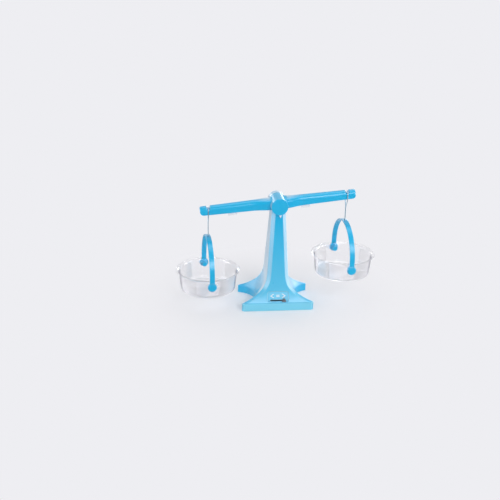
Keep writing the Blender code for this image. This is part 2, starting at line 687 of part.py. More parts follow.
def build_hook(name, spot):
    hinge = joint_empty(name + "_hinge", spot)
    leg = ARM_DEPTH / 2 + HOOK_LEG_CLEAR + WIRE_RADIUS
    shank = WIRE_RADIUS + HOOK_SHANK_GAP / 2
    under = -(ARM_HEIGHT_TIP - NOTCH_DEPTH + WIRE_RADIUS + HOOK_NECK_START)
    foot = -(HOOK_DROP + STRAP_THICKNESS / 2 + HOOK_FOOT_CLEAR + WIRE_RADIUS)
    front = [(-HOOK_FOOT, foot), (-shank, foot), (-shank, under - HOOK_NECK), (-leg, under), (-leg, 0)]
    corners = front + [(-y, z) for y, z in reversed(front)]
    bends = [HOOK_FOOT_BEND, HOOK_NECK_BEND, HOOK_NECK_BEND, HOOK_TOP_BEND]
    path = rounded_path(corners, bends + bends[::-1])
    curve = bpy.data.curves.new(name, "CURVE")
    curve.dimensions = "3D"
    curve.bevel_depth = WIRE_RADIUS
    curve.bevel_resolution = WIRE_RESOLUTION
    curve.use_fill_caps = True
    spline = curve.splines.new("POLY")
    spline.points.add(len(path) - 1)
    for point, (y, z) in zip(spline.points, path):
        point.co = (0, y, z, 1)
    piece(name, curve, STEEL, hinge)


def pan_wall_radius(drop):
    # Outer radius of the bowl's side at a depth under the rim.
    side_end = PAN_DEPTH - PAN_CORNER
    return mix(PAN_WALL_RADIUS, PAN_LOW_RADIUS, (drop - PAN_LIP_HEIGHT) / (side_end - PAN_LIP_HEIGHT))


def pan_side(inset):
    # Half section of one skin of the bowl, from the floor up to the lip. Heights are from the rim.
    corner = PAN_CORNER - inset
    low = PAN_LOW_RADIUS - inset
    floor = -PAN_DEPTH + inset
    turn = arc((low - corner, floor + corner), corner, -math.pi / 2, 0, PAN_CORNER_STEPS)
    top = PAN_WALL_RADIUS - inset
    reach = PAN_LIP_RADIUS - PAN_WALL_RADIUS
    sweep = []
    for i in range(1, PAN_LIP_STEPS + 1):
        angle = math.pi / 2 * i / PAN_LIP_STEPS
        rise = (PAN_LIP_HEIGHT - PAN_WALL + inset) * math.sin(angle)
        sweep.append((top + (reach + inset) * (1 - math.cos(angle)), -PAN_LIP_HEIGHT + rise))
    return [(0, floor)] + turn + [(top, -PAN_LIP_HEIGHT)] + sweep


def button_profile():
    # Turned snap pivot, measured outward from the bowl's axis: collar inside, shank, head outside.
    neck = BOSS_NECK_RADIUS
    wall_slope = (PAN_WALL_RADIUS - PAN_LOW_RADIUS) / (PAN_DEPTH - PAN_CORNER - PAN_LIP_HEIGHT)
    wall = pan_wall_radius(BUTTON_DROP)
    neck_end = wall + wall_slope * neck + CLEAR
    collar = BUTTON_COLLAR_RADIUS
    bulge = wall - PAN_WALL - math.sqrt((wall - PAN_WALL) ** 2 - collar ** 2)
    collar_face = wall - PAN_WALL - wall_slope * collar - bulge - CLEAR
    boss_face = PAN_LIP_RADIUS + RUN_CLEAR + BOSS_THICKNESS
    head = boss_face + CLEAR
    top = head + BUTTON_HEAD
    rim = arc((BUTTON_HEAD_RADIUS - BUTTON_EDGE, top - BUTTON_EDGE), BUTTON_EDGE, math.pi / 2, 0, EDGE_STEPS)
    collar_end = collar_face - BUTTON_COLLAR
    button = [(0, top)] + rim + [(BUTTON_HEAD_RADIUS, head), (BUTTON_SHANK, head)]
    button += [(BUTTON_SHANK, collar_face), (collar, collar_face), (collar, collar_end), (0, collar_end)]
    boss_back = boss_face - BOSS_THICKNESS
    boss = [(0, boss_face), (BOSS_RADIUS - BUTTON_EDGE, boss_face), (BOSS_RADIUS, boss_face - BUTTON_EDGE)]
    boss += [(BOSS_RADIUS, boss_back), (neck, boss_back), (neck, neck_end), (0, neck_end)]
    return button, boss, top


def build_pan_and_handle(side, hook):
    centre = hook - Vector((0, 0, HOOK_DROP + HANDLE_RISE))
    hinge = joint_empty(side + "_pan_hinge", centre, (0, 0, PAN_TURN))
    button, boss, reach = button_profile()
    name = side + "_button_bore"
    bore = tool(name, rod_along(name, BUTTON_FIT, 2 * (reach + SINK), "Y"), hinge)

    profile = pan_side(PAN_WALL) + pan_side(0)[::-1]
    pan = piece(side + "_pan", turned_profile(side + "_pan", profile), CLEAR_PLASTIC, hinge)
    pan.location = (0, 0, BUTTON_DROP)
    screw(pan, PAN_SEGMENTS)
    boolean(pan, bore, "DIFFERENCE")

    span = PAN_LIP_RADIUS + RUN_CLEAR + STRAP_THICKNESS / 2
    straight = BUTTON_DROP + STRAP_THICKNESS
    arch = [(span * math.cos(a), mix(straight, HANDLE_RISE, math.sin(a)))
            for a in (math.pi * i / STRAP_STEPS for i in range(STRAP_STEPS + 1))]
    path = [(span, 0)] + arch + [(-span, 0)]
    handle = piece(side + "_handle", strip(side + "_handle", path, STRAP_WIDTH), BLUE_PLASTIC, hinge)
    thicken(handle, STRAP_THICKNESS)
    for where, front in (("front", True), ("rear", False)):
        name = side + "_" + where
        end = tool(name + "_boss", turned_profile(name + "_boss", boss), hinge)
        screw(end, BUTTON_SEGMENTS)
        facing_front(end, front)
        boolean(handle, end, "UNION")
        pivot = piece(name + "_button", turned_profile(name + "_button", button), BLUE_PLASTIC, hinge)
        screw(pivot, BUTTON_SEGMENTS)
        facing_front(pivot, front)
    boolean(handle, bore, "DIFFERENCE")
    name = side + "_strap_hole"
    hole = tool(name, rod_along(name, STRAP_HOLE, THROUGH, "Z"), hinge)
    hole.location.z = HANDLE_RISE
    boolean(handle, hole, "DIFFERENCE")


def build_balance():
    build_stand()
    pivot = joint_empty("beam_pivot", (0, 0, PIVOT_Z), (0, -TILT, 0))
    build_beam(pivot)
    build_axle(pivot)
    build_level_pointer(pivot)
    build_tail_arm(pivot)
    build_indicator()
    build_adjuster("left_adjuster", LEFT_SLIDER, pivot)
    build_adjuster("right_adjuster", RIGHT_SLIDER, pivot)
    for side, sign in (("left", -1), ("right", 1)):
        hook = hook_point(sign)
        build_hook(side + "_hook", hook)
        build_pan_and_handle(side, hook)


build_balance()
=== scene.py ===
import json
import math

import bmesh
import bpy
from mathutils import Matrix, Vector
from mathutils.bvhtree import BVHTree


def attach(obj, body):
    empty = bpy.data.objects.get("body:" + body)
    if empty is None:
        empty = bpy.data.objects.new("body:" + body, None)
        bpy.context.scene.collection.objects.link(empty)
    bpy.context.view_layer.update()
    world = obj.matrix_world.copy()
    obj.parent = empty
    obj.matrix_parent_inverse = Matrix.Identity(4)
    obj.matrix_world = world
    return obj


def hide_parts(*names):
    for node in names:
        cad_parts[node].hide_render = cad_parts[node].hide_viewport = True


mm = 0.001
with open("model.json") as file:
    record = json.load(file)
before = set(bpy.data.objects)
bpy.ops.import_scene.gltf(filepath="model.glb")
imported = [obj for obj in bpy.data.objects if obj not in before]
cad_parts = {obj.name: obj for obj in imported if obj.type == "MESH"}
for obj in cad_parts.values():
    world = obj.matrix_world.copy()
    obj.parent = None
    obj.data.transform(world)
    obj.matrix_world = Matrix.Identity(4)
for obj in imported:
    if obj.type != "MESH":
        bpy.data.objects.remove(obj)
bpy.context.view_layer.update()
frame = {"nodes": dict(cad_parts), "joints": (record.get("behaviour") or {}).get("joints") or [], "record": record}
bodies = frame["record"]["behaviour"]["bodies"]
bodyOfNode = {node: body for body, nodes in bodies.items() for node in nodes}
slotOfNode = {part["node"]: part["material_slot"] for part in frame["record"]["subparts"]}
jointAt = {joint["name"]: joint for joint in frame["joints"]}
print("frame loaded:", len(frame["nodes"]), "nodes")


def linear(hexColour):
    # sRGB hex to the linear colour that a socket takes
    shares = [int(hexColour[i:i + 2], 16) / 255 for i in (1, 3, 5)]
    return [c / 12.92 if c <= 0.04045 else ((c + 0.055) / 1.055) ** 2.4 for c in shares] + [1]


def addNode(tree, kind, feeds=None, **settings):
    # one node with its settings, and a value or a link for each socket named in feeds
    node = tree.nodes.new("ShaderNode" + kind)
    for name, value in settings.items():
        setattr(node, name, value)
    for socket, value in (feeds or {}).items():
        if isinstance(value, bpy.types.NodeSocket):
            tree.links.new(value, node.inputs[socket])
        else:
            node.inputs[socket].default_value = value
    return node


def newMaterial(name):
    material = bpy.data.materials.new(name)
    material.use_nodes = True
    material.node_tree.nodes.clear()
    return material, material.node_tree


def perMetre(size):
    # texture scale whose features are about this many millimetres wide
    return 1 / (size * mm)


# High-impact polystyrene, injection moulded in a satin tool: clean cyan with a soft gloss, a slight ripple in
# the reflections, a pale sheen where a side is seen edge on, and a painted highlight that makes rounded edges
# paler.
# Edges are where the rounded normal leaves the face's own, by cosine. The sheen runs from 0, seen square on,
# to 1, seen edge on.
blueLook = {
    "colour": "#02b1e2", "cloudy": "#08b6e6", "cloud": 26, "ior": 1.59,
    "gloss": 0.25, "handled": 0.34, "handledPatch": 52, "handledBand": (0.1, 0.9),
    # edge is the colour of the painted highlight on rounded edges
    "edge": "#a4dcf3", "edgeHighlightShare": 0.6, "edgeRadius": 1.3, "edgeTurn": (0.995, 0.90),
    "sheen": "#ffffff", "sheenRough": 1.0, "sheenFrom": 0.66, "sheenTo": 0.92, "sheenRise": 1.0,
    "sheenShare": 0.5, "ripple": 14, "rippleDepth": 0.04, "grain": 2.2, "grainDepth": 0.005,
}
# A ramp is a direction and the two places along it, in millimetres, between which an effect comes in.
# The stand's base colour is painted paler towards the front of its foot and on its front skirt, a painted
# highlight for the light that falls there, and a little less pale on the low front flare, painted shade that evens
# it with the skirt. There the painted edge highlight is taken off, so the flare runs into the front skirt without
# a pale edge.
standLook = blueLook | {
    # the stand's rounded edges take a paler, wider painted highlight
    "edge": "#b4e2f4", "edgeHighlightShare": 0.85, "edgeRadius": 1.9,
    "noEdgeHighlight": [((0, 1, 0), -50, -54), ((0, 0, 1), 13, 15), ((0, 0, 1), 25, 21),
                 ((1, 0, 0), 80, 75), ((-1, 0, 0), 80, 75)],
    "sheenFrom": 0.65, "sheenRise": 0.35, "sheenShare": 1.0, "cornerFrom": 0.10, "corner": (0.05, 0.35),
    "sheenWhere": [[((0, 0, 1), 15, 27)]],
    # painted light: paler towards the front of the foot and on the front skirt, less pale on the low front flare
    "paintedLightTints": {"#68cbee": [((0, 2.4, 1), 150, -135)],
              "#57c0e8": [((0, 1, 0), -38, -50), ((0, 0, 1), 36, 24)],
              "#82d9f4": [((0, 1, 0), -54, -57), ((0, 0, 1), 19.5, 17.5)]},
}
# The beam shows its sheen on the shoulders beside the hub and on the rear of the barrel.
beamLook = blueLook | {
    "sheenFrom": 0.25, "sheenRise": 0.5, "sheenShare": 1.0,
    "sheenWhere": [[((1, 0, 0), 17, 21), ((1, 0, 0), 60, 26)],
                   [((-1, 0, 0), 17, 21), ((-1, 0, 0), 60, 26)],
                   [((0, 1, 0), 14, 22)]],
}


def shareOf(tree, place, ramps):
    # the ramps multiplied together
    share = 1
    for direction, start, end in ramps:
        along = addNode(tree, "VectorMath", {0: place, 1: direction}, operation="DOT_PRODUCT")
        ramp = addNode(tree, "MapRange", {"Value": along.outputs["Value"], "From Min": start * mm,
                                          "From Max": end * mm, "To Max": share})
        share = ramp.outputs["Result"]
    return share


def sheenWeight(tree, place, normal, look):
    start = look["sheenFrom"]
    if "corner" in look:
        # bevelled corners, whose normal lies between X and Y, take the sheen sooner than the flat sides
        facing = addNode(tree, "SeparateXYZ", {"Vector": addNode(tree, "TexCoord").outputs["Normal"]})
        between = addNode(tree, "Math", {0: facing.outputs["X"], 1: facing.outputs["Y"]}, operation="MULTIPLY")
        between = addNode(tree, "Math", {0: between.outputs["Value"]}, operation="ABSOLUTE")
        flat, bevelled = look["corner"]
        start = addNode(tree, "MapRange", {
            "Value": between.outputs["Value"], "From Min": flat, "From Max": bevelled,
            "To Min": look["sheenFrom"], "To Max": look["cornerFrom"]}).outputs["Result"]
    slant = addNode(tree, "LayerWeight", {"Normal": normal})
    sheen = addNode(tree, "MapRange", {"Value": slant.outputs["Facing"], "From Min": start,
                                       "From Max": look["sheenTo"]})
    sheen = addNode(tree, "Math", {0: sheen.outputs["Result"], 1: look["sheenRise"]}, operation="POWER")
    sheen = addNode(tree, "Math", {0: sheen.outputs["Value"], 1: look["sheenShare"]}, operation="MULTIPLY")
    where = None
    for ramps in look.get("sheenWhere", []):
        share = shareOf(tree, place, ramps)
        where = addNode(tree, "Math", {0: share, 1: where or share}, operation="MAXIMUM").outputs["Value"]
    if where:
        sheen = addNode(tree, "Math", {0: sheen.outputs["Value"], 1: where}, operation="MULTIPLY")
    return sheen.outputs["Value"]


def bluePolystyrene(name, look):
    material, tree = newMaterial(name)
    place = addNode(tree, "TexCoord").outputs["Object"]
    cloud = addNode(tree, "TexNoise", {"Vector": place, "Scale": perMetre(look["cloud"]), "Detail": 3})
    body = addNode(tree, "MixRGB", {"Fac": cloud.outputs["Fac"], "Color1": linear(look["colour"]),
                                    "Color2": linear(look["cloudy"])})
    # painted light: each tone is painted into the base colour where its ramps say
    for paintedTone, ramps in look.get("paintedLightTints", {}).items():
        body = addNode(tree, "MixRGB", {"Fac": shareOf(tree, place, ramps), "Color1": body.outputs["Color"],
                                        "Color2": linear(paintedTone)})
    rounded = addNode(tree, "Bevel", {"Radius": look["edgeRadius"] * mm}, samples=8).outputs["Normal"]
    ownNormal = addNode(tree, "NewGeometry").outputs["Normal"]
    # painted highlight: the base colour turns paler on rounded edges, where the rounded normal leaves the face's
    # own
    turn = addNode(tree, "VectorMath", {0: rounded, 1: ownNormal}, operation="DOT_PRODUCT")
    flat, turned = look["edgeTurn"]
    paintedEdgeHighlight = addNode(tree, "MapRange", {"Value": turn.outputs["Value"], "From Min": flat, "From Max": turned,
                                        "To Max": look["edgeHighlightShare"]}).outputs["Result"]
    # the ramps take the painted edge highlight off again
    if "noEdgeHighlight" in look:
        paintedEdgeHighlight = addNode(tree, "Math", {0: paintedEdgeHighlight, 1: shareOf(tree, place, look["noEdgeHighlight"])},
                         operation="SUBTRACT", use_clamp=True).outputs["Value"]
    edgeHighlighted = addNode(tree, "MixRGB", {"Fac": paintedEdgeHighlight, "Color1": body.outputs["Color"],
                                     "Color2": linear(look["edge"])})
    handled = addNode(tree, "TexNoise", {"Vector": place, "Scale": perMetre(look["handledPatch"]), "Detail": 1})
    low, high = look["handledBand"]
    rough = addNode(tree, "MapRange", {"Value": handled.outputs["Fac"], "From Min": low, "From Max": high,
                                       "To Min": look["gloss"], "To Max": look["handled"]})
    ripple = addNode(tree, "TexNoise", {"Vector": place, "Scale": perMetre(look["ripple"]), "Detail": 1})
    wave = addNode(tree, "Bump", {"Height": ripple.outputs["Fac"], "Distance": look["rippleDepth"] * mm,
                                  "Normal": rounded})
    # tool grain is really about 0.3 mm, drawn coarser so that it shows
    grain = addNode(tree, "TexNoise", {"Vector": place, "Scale": perMetre(look["grain"]), "Detail": 2})
    skin = addNode(tree, "Bump", {"Height": grain.outputs["Fac"], "Distance": look["grainDepth"] * mm,
                                  "Normal": wave.outputs["Normal"]})
    shader = addNode(tree, "BsdfPrincipled", {
        "Base Color": edgeHighlighted.outputs["Color"], "Roughness": rough.outputs["Result"], "IOR": look["ior"],
        "Sheen Weight": sheenWeight(tree, place, rounded, look), "Sheen Roughness": look["sheenRough"],
        "Sheen Tint": linear(look["sheen"]), "Normal": skin.outputs["Normal"]})
    addNode(tree, "OutputMaterial", {"Surface": shader.outputs["BSDF"]})
    return material


# Crystal polystyrene, injection moulded clear: almost unseen face on, with thin grey lines painted as shade where
# a wall is edge on.
clearLook = {
    "colour": "#f6f5f9", "ior": 1.59, "gloss": 0.03, "scuffed": 0.10, "scuff": 6, "scuffBand": (0.45, 0.8),
    "depthColour": "#aaa6bb", "density": 4, "thin": 0.68, "shade": 0.12,
    # line is the colour of the painted shade where a wall is edge on
    "face": "#ffffff", "line": "#a4a4b0", "edgeOnShadeStart": 0.68,
}


def clearPolystyreneMoulded():
    look = clearLook
    material, tree = newMaterial("clear_polystyrene_moulded")
    place = addNode(tree, "TexCoord").outputs["Object"]
    scuff = addNode(tree, "TexNoise", {"Vector": place, "Scale": perMetre(look["scuff"]), "Detail": 5})
    low, high = look["scuffBand"]
    rough = addNode(tree, "MapRange", {"Value": scuff.outputs["Fac"], "From Min": low, "From Max": high,
                                       "To Min": look["gloss"], "To Max": look["scuffed"]})
    # a wall seen edge on is painted darker to a line, painted shade for the dark refraction there, with a little
    # real tint from the longer path through it
    slant = addNode(tree, "LayerWeight")
    edgeOnShadeShare = addNode(tree, "MapRange", {"Value": slant.outputs["Facing"], "From Min": look["edgeOnShadeStart"]})
    edgeShadedTint = addNode(tree, "MixRGB", {"Fac": edgeOnShadeShare.outputs["Result"], "Color1": linear(look["face"]),
                                    "Color2": linear(look["line"])})
    shader = addNode(tree, "BsdfPrincipled", {
        "Base Color": linear(look["colour"]), "Roughness": rough.outputs["Result"], "IOR": look["ior"],
        "Transmission Weight": 1})
    # thin clear walls bend light little, and let most of a lamp's through, so their shadow is pale
    lamp = addNode(tree, "LightPath").outputs["Is Shadow Ray"]
    passing = addNode(tree, "MapRange", {"Value": lamp, "To Min": look["thin"], "To Max": 1 - look["shade"]})
    through = addNode(tree, "BsdfTransparent", {"Color": edgeShadedTint.outputs["Color"]})
    both = addNode(tree, "MixShader", {"Fac": passing.outputs["Result"], 1: shader.outputs["BSDF"],
                                       2: through.outputs["BSDF"]})
    depth = addNode(tree, "VolumeAbsorption", {"Color": linear(look["depthColour"]),
                                               "Density": look["density"]})
    addNode(tree, "OutputMaterial", {"Surface": both.outputs["Shader"], "Volume": depth.outputs["Volume"]})
    return material


# Carbon steel wire and strip, bright drawn and zinc plated: a cool bluish mirror with lines along the draw.
# Those lines are really finer than 0.1 mm, drawn coarser so that they show.
steelLook = {"colour": "#c4d8e2", "dull": "#a8c0ce", "gloss": 0.28, "worn": 0.44,
             "line": 1.2, "lineDepth": 0.01, "stretch": 0.08}


def steelBrightDrawn():
    look = steelLook
    material, tree = newMaterial("steel_bright_drawn")
    place = addNode(tree, "TexCoord").outputs["Object"]
    # draw lines run down the wire, so the noise is stretched along Z
    drawn = addNode(tree, "Mapping", {"Vector": place, "Scale": (1, 1, look["stretch"])})
    lines = addNode(tree, "TexNoise", {"Vector": drawn.outputs["Vector"], "Scale": perMetre(look["line"]),
                                       "Detail": 3})
    colour = addNode(tree, "MixRGB", {"Fac": lines.outputs["Fac"], "Color1": linear(look["colour"]),
                                      "Color2": linear(look["dull"])})
    rough = addNode(tree, "MapRange", {"Value": lines.outputs["Fac"], "To Min": look["gloss"],
                                       "To Max": look["worn"]})
    bump = addNode(tree, "Bump", {"Height": lines.outputs["Fac"], "Distance": look["lineDepth"] * mm})
    shader = addNode(tree, "BsdfPrincipled", {
        "Base Color": colour.outputs["Color"], "Roughness": rough.outputs["Result"], "Metallic": 1,
        "Normal": bump.outputs["Normal"]})
    addNode(tree, "OutputMaterial", {"Surface": shader.outputs["BSDF"]})
    return material


# Small mouldings in satin plastic: white for the level pointer and sliders, charcoal for the arrow.
# The ink is thin and flat, with the slight mottle that a printing pad leaves.
# Their grain is really about 0.2 mm, drawn coarser so that it shows.
satinLooks = {
    "white_polystyrene_satin": {
        "colour": "#eff0f3", "dull": "#e2e4ea", "ior": 1.59, "gloss": 0.36, "grain": 1.5},
    "charcoal_abs_satin": {
        "colour": "#3a3d47", "dull": "#4a4e59", "ior": 1.53, "gloss": 0.42, "grain": 1.5},
    "white_ink_pad_printed": {
        "colour": "#f6f7fa", "dull": "#e9edf4", "ior": 1.5, "gloss": 0.48, "grain": 0.9},
}
satinSkin = {"edgeRadius": 0.3, "grainDepth": 0.012}


def satinPlastic(name):
    look = satinLooks[name]
    material, tree = newMaterial(name)
    place = addNode(tree, "TexCoord").outputs["Object"]
    grain = addNode(tree, "TexNoise", {"Vector": place, "Scale": perMetre(look["grain"]), "Detail": 4})
    colour = addNode(tree, "MixRGB", {"Fac": grain.outputs["Fac"], "Color1": linear(look["colour"]),
                                      "Color2": linear(look["dull"])})
    rounded = addNode(tree, "Bevel", {"Radius": satinSkin["edgeRadius"] * mm}, samples=4)
    bump = addNode(tree, "Bump", {"Height": grain.outputs["Fac"], "Distance": satinSkin["grainDepth"] * mm,
                                  "Normal": rounded.outputs["Normal"]})
    shader = addNode(tree, "BsdfPrincipled", {
        "Base Color": colour.outputs["Color"], "Roughness": look["gloss"], "IOR": look["ior"],
        "Normal": bump.outputs["Normal"]})
    addNode(tree, "OutputMaterial", {"Surface": shader.outputs["BSDF"]})
    return material


finishes = {
    "blue_plastic": bluePolystyrene("blue_polystyrene_moulded", blueLook),
    "clear_plastic": clearPolystyreneMoulded(),
    "steel_wire": steelBrightDrawn(),
    "white_plastic": satinPlastic("white_polystyrene_satin"),
    "charcoal_plastic": satinPlastic("charcoal_abs_satin"),
}
ownFinishes = {
    "stand": bluePolystyrene("blue_polystyrene_thin_walled", standLook),
    "beam": bluePolystyrene("blue_polystyrene_flared_beam", beamLook),
}
whiteInk = satinPlastic("white_ink_pad_printed")
print("materials:", len(finishes) + len(ownFinishes) + 1)


def newPiece(name, mesh, finish, body, stands=(), place=None):
    piece = bpy.data.objects.new(name, mesh)
    bpy.context.scene.collection.objects.link(piece)
    if place:
        piece.matrix_world = place
    mesh.materials.clear()
    mesh.materials.append(finish)
    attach(piece, body)
    if stands:
        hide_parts(*stands)
    return piece


def shadeByAngle(mesh, degrees):
    mesh.shade_smooth()
    mesh.set_sharp_from_angle(angle=math.radians(degrees))


def meshOf(name, shape):
    mesh = bpy.data.meshes.new(name)
    shape.to_mesh(mesh)
    shape.free()
    return mesh


# Mouldings whose CAD form is right: facets welded, flats merged and curves shaded smooth.
# The angles are degrees.
welding = {"weld": 0.02, "flat": 0.4, "sharp": 36}
# Seen from above the arms widen into the hub.
shoulder = {"from": 17, "to": 60, "half": 10.5, "wide": 8, "cuts": 10, "snap": 0.001, "slack": 0.1}


def widenArms(shape):
    pivot = Vector(jointAt["beam_tilt"]["pos_m"])
    tilt = math.radians(jointAt["beam_tilt"]["range_deg"][1] / 2)
    along = Vector((math.cos(tilt), 0, math.sin(tilt)))
    first, last = shoulder["from"], shoulder["to"]
    for i in range(1, shoulder["cuts"] + 1):
        for way in (-1, 1):
            station = pivot + along * way * (first + (last - first) * i / shoulder["cuts"]) * mm
            bmesh.ops.bisect_plane(shape, geom=shape.verts[:] + shape.edges[:] + shape.faces[:],
                                   dist=shoulder["snap"] * mm, plane_co=station, plane_no=along)
    for vert in shape.verts:
        if abs(vert.co.y) < (shoulder["half"] + shoulder["slack"]) * mm:
            out = (abs((vert.co - pivot).dot(along)) / mm - first) / (last - first)
            out = min(max(out, 0), 1)
            # eased, so that the arm leaves the hub and the straight run without a kink
            vert.co.y *= 1 + (1 - out * out * (3 - 2 * out)) * shoulder["wide"] / shoulder["half"]


def smoothed(node):
    shape = bmesh.new()
    shape.from_mesh(frame["nodes"][node].data)
    bmesh.ops.remove_doubles(shape, verts=shape.verts, dist=welding["weld"] * mm)
    bmesh.ops.dissolve_limit(shape, angle_limit=math.radians(welding["flat"]),
                             verts=shape.verts, edges=shape.edges)
    if node == "beam":
        widenArms(shape)
    mesh = meshOf(node + "_moulding", shape)
    if "custom_normal" in mesh.attributes:
        mesh.attributes.remove(mesh.attributes["custom_normal"])
    shadeByAngle(mesh, welding["sharp"])
    slot = slotOfNode[node]
    finish = ownFinishes.get(node, finishes[slot])
    piece = newPiece(node + "_moulding", mesh, finish, bodyOfNode[node], [node])
    flats = piece.modifiers.new("flats", "WEIGHTED_NORMAL")
    flats.keep_sharp = True


for node in sorted(frame["nodes"]):
    if not node.endswith(("_pan", "_hook")):
        smoothed(node)
print("mouldings smoothed")


# Hooks: one wire bent over the beam's notch, drawn in to a double shank, with two feet under the strap.
hook = {
    "radius": 1.0, "leg": 12.7, "shank": 1.3, "under": 16.7, "neck": 16, "foot": 71.4, "reach": 5.5,
    "bends": (2, 9, 9, 2.2), "bendSteps": 12, "round": 6, "sharp": 40,
}


def bentPath(corners, bends, steps):
    # straight runs with an arc of the given radius at each inner corner
    path = [Vector(corners[0])]
    for before, corner, after, bend in zip(corners, corners[1:], corners[2:], bends):
        corner = Vector(corner)
        behind = (Vector(before) - corner).normalized()
        ahead = (Vector(after) - corner).normalized()
        half = behind.angle(ahead) / 2
        centre = corner + (behind + ahead).normalized() * bend / math.sin(half)
        first = (corner + behind * bend / math.tan(half) - centre).normalized()
        last = (corner + ahead * bend / math.tan(half) - centre).normalized()
        path += [centre + first.slerp(last, i / steps) * bend for i in range(steps + 1)]
    return path + [Vector(corners[-1])]


def wireHook(side):
    h = hook
    front = [(-h["reach"], -h["foot"]), (-h["shank"], -h["foot"]), (-h["shank"], -h["under"] - h["neck"]),
             (-h["leg"], -h["under"]), (-h["leg"], 0)]
    corners = front + [(-y, z) for y, z in reversed(front)]
    path = bentPath(corners, h["bends"] + h["bends"][::-1], h["bendSteps"])
    curve = bpy.data.curves.new(side + "_wire", "CURVE")
    curve.dimensions = "3D"
    curve.bevel_depth = h["radius"] * mm
    curve.bevel_resolution = h["round"]
    curve.use_fill_caps = True
    spline = curve.splines.new("POLY")
    spline.points.add(len(path) - 1)
    for point, (y, z) in zip(spline.points, path):
        point.co = (0, y * mm, z * mm, 1)
    maker = bpy.data.objects.new(side + "_wire", curve)
    mesh = bpy.data.meshes.new_from_object(maker)
    bpy.data.objects.remove(maker)
    shadeByAngle(mesh, h["sharp"])
    node = side + "_hook"
    top = Matrix.Translation(Vector(jointAt[side + "_hook_swing"]["pos_m"]))
    newPiece(side + "_hook_wire", mesh, finishes["steel_wire"], node, [node], top)


# Clear bowls: flat floor, round corner, leaning wall and a lip that sweeps out to a rounded edge.
# boreReach is a share of the lip's radius, so that one drill goes through both walls.
pan = {
    "lipRadius": 74.8, "wallRadius": 68, "lowRadius": 64.4, "depth": 50.5, "lipHeight": 8, "corner": 9,
    "wall": 1.8, "buttonDrop": 14.8, "boreRadius": 4.3, "boreReach": 2.2, "boreSegments": 48,
    "segments": 144, "steps": 12, "edgeSteps": 8, "sharp": 40,
}


def arc(centre, radius, start, end, steps):
    angles = [start + (end - start) * i / steps for i in range(steps + 1)]
    return [(centre[0] + radius * math.cos(a), centre[1] + radius * math.sin(a)) for a in angles]


def panSkin(inset):
    # half section of one skin, floor to lip, with heights from the rim
    corner = pan["corner"] - inset
    low = pan["lowRadius"] - inset
    floor = inset - pan["depth"]
    skin = [(0, floor)] + arc((low - corner, floor + corner), corner, -math.pi / 2, 0, pan["steps"])
    top = pan["wallRadius"] - inset
    reach = pan["lipRadius"] - pan["wallRadius"] + inset
    rise = pan["lipHeight"] - pan["wall"] + inset
    for i in range(pan["steps"] + 1):
        angle = math.pi / 2 * i / pan["steps"]
        skin.append((top + reach * (1 - math.cos(angle)), rise * math.sin(angle) - pan["lipHeight"]))
    return skin


def panMesh(name):
    outer, inner = panSkin(0), panSkin(pan["wall"])
    half = pan["wall"] / 2
    edge = arc((pan["lipRadius"] - half, -half), half, -math.pi / 2, math.pi / 2, pan["edgeSteps"])
    outer[-1], inner[-1] = edge[0], edge[-1]
    profile = outer + edge[1:-1] + inner[::-1]
    shape = bmesh.new()
    count = pan["segments"]
    angles = [2 * math.pi * i / count for i in range(count)]
    rings = []
    for radius, z in profile:
        spots = angles if radius else angles[:1]
        spots = [(radius * mm * math.cos(a), radius * mm * math.sin(a), z * mm) for a in spots]
        rings.append([shape.verts.new(spot) for spot in spots])
    for low, high in zip(rings, rings[1:]):
        for i in range(count):
            j = (i + 1) % count
            corners = [low[i % len(low)], low[j % len(low)], high[j % len(high)], high[i % len(high)]]
            shape.faces.new(list(dict.fromkeys(corners)))
    bmesh.ops.recalc_face_normals(shape, faces=shape.faces)
    return meshOf(name, shape)


def borePan(bowl):
    # a round hole on each side for the snap pivots
    shape = bmesh.new()
    bmesh.ops.create_cone(shape, cap_ends=True, segments=pan["boreSegments"], radius1=pan["boreRadius"] * mm,
                          radius2=pan["boreRadius"] * mm, depth=pan["boreReach"] * pan["lipRadius"] * mm)
    bmesh.ops.rotate(shape, verts=shape.verts, matrix=Matrix.Rotation(math.pi / 2, 3, "X"))
    drill = bpy.data.objects.new("pan_bore", meshOf("pan_bore", shape))
    bpy.context.scene.collection.objects.link(drill)
    drill.location.z = -pan["buttonDrop"] * mm
    cut = bowl.modifiers.new("bores", "BOOLEAN")
    cut.object = drill
    cut.operation = "DIFFERENCE"
    bpy.context.view_layer.update()
    bored = bpy.data.meshes.new_from_object(bowl.evaluated_get(bpy.context.evaluated_depsgraph_get()))
    bpy.data.objects.remove(drill)
    return bored


def clearBowl(side):
    blank = bpy.data.objects.new(side + "_blank", panMesh(side + "_blank"))
    bpy.context.scene.collection.objects.link(blank)
    mesh = borePan(blank)
    bpy.data.objects.remove(blank)
    shadeByAngle(mesh, pan["sharp"])
    node = side + "_pan"
    tip = jointAt[side + "_pan_tip"]
    mesh.transform(Matrix.Rotation(math.atan2(-tip["axis"][0], tip["axis"][1]), 4, "Z"))
    rim = Matrix.Translation(Vector(tip["pos_m"]) + Vector((0, 0, pan["buttonDrop"] * mm)))
    newPiece(side + "_bowl", mesh, finishes["clear_plastic"], node, [node], rim)


for side in ("left", "right"):
    wireHook(side)
    clearBowl(side)
print("hooks bent and pans turned")


# Signs for less, equal and greater, pad printed on the flat of the window. A ray from ahead finds the flat.
signs = {"spacing": 13.6, "z": 34.0, "height": 8.2, "width": 6.4, "stroke": 1.7, "gap": 3.2, "ink": 0.10,
         "capSteps": 8, "leastMitre": 0.3, "ahead": 300}


